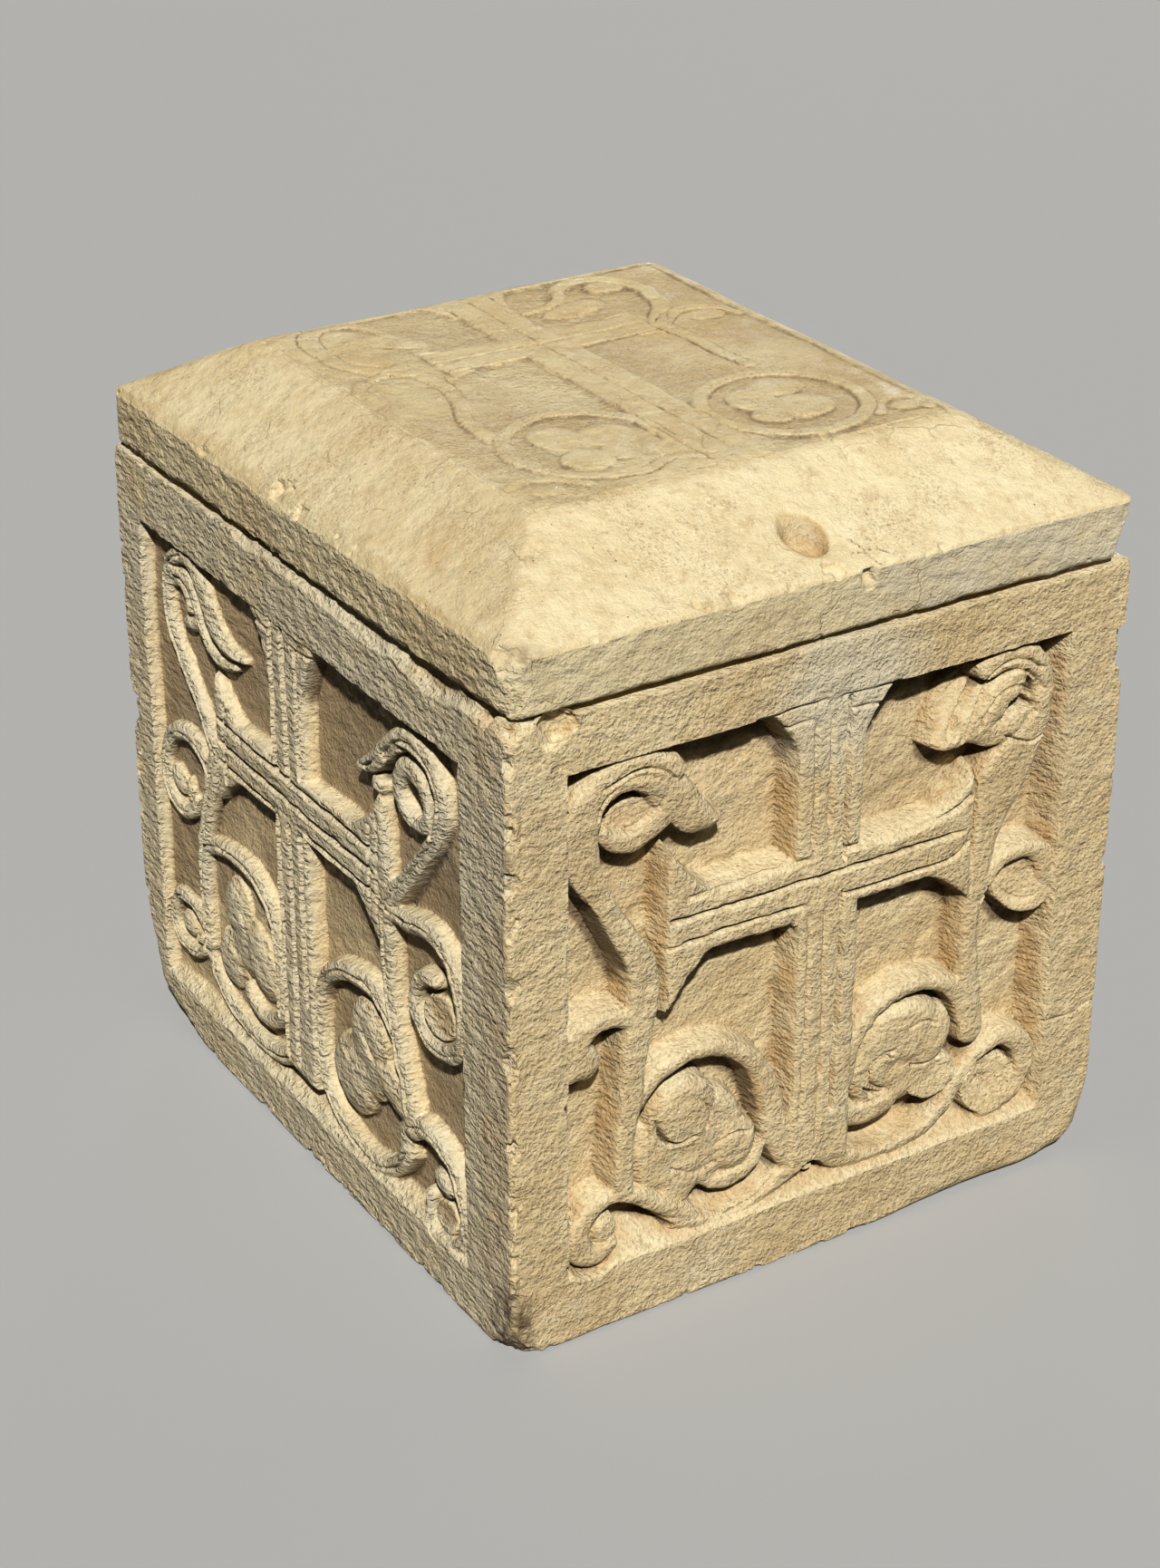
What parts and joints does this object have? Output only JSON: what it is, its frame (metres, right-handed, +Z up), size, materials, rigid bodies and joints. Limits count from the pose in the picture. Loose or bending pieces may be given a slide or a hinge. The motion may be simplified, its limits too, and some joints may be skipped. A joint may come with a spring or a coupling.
{
  "type": "stone reliquary casket",
  "caption": "Hollow carved stone casket with cross and vine-scroll relief panels and a hipped lift-off stone lid with a libation dimple.",
  "frame": {"origin": "middle of the underside's bounding rectangle, on the surface that the casket stands on", "axes": "+Z up, +X to the right along the front, -Y out of the front panel, -X out of the carved left panel"},
  "size_m": [0.32, 0.365, 0.3683],
  "materials": {
    "body_stone": "carved marble-like limestone, tool marked, with brown patina in the hollows",
    "lid_stone": "smoothed and worn marble-like limestone with tan mottling and small pits"
  },
  "bodies": {
    "root": {"casket_body": "body_stone", "casket_lid": "lid_stone"}
  },
  "joints": []
}
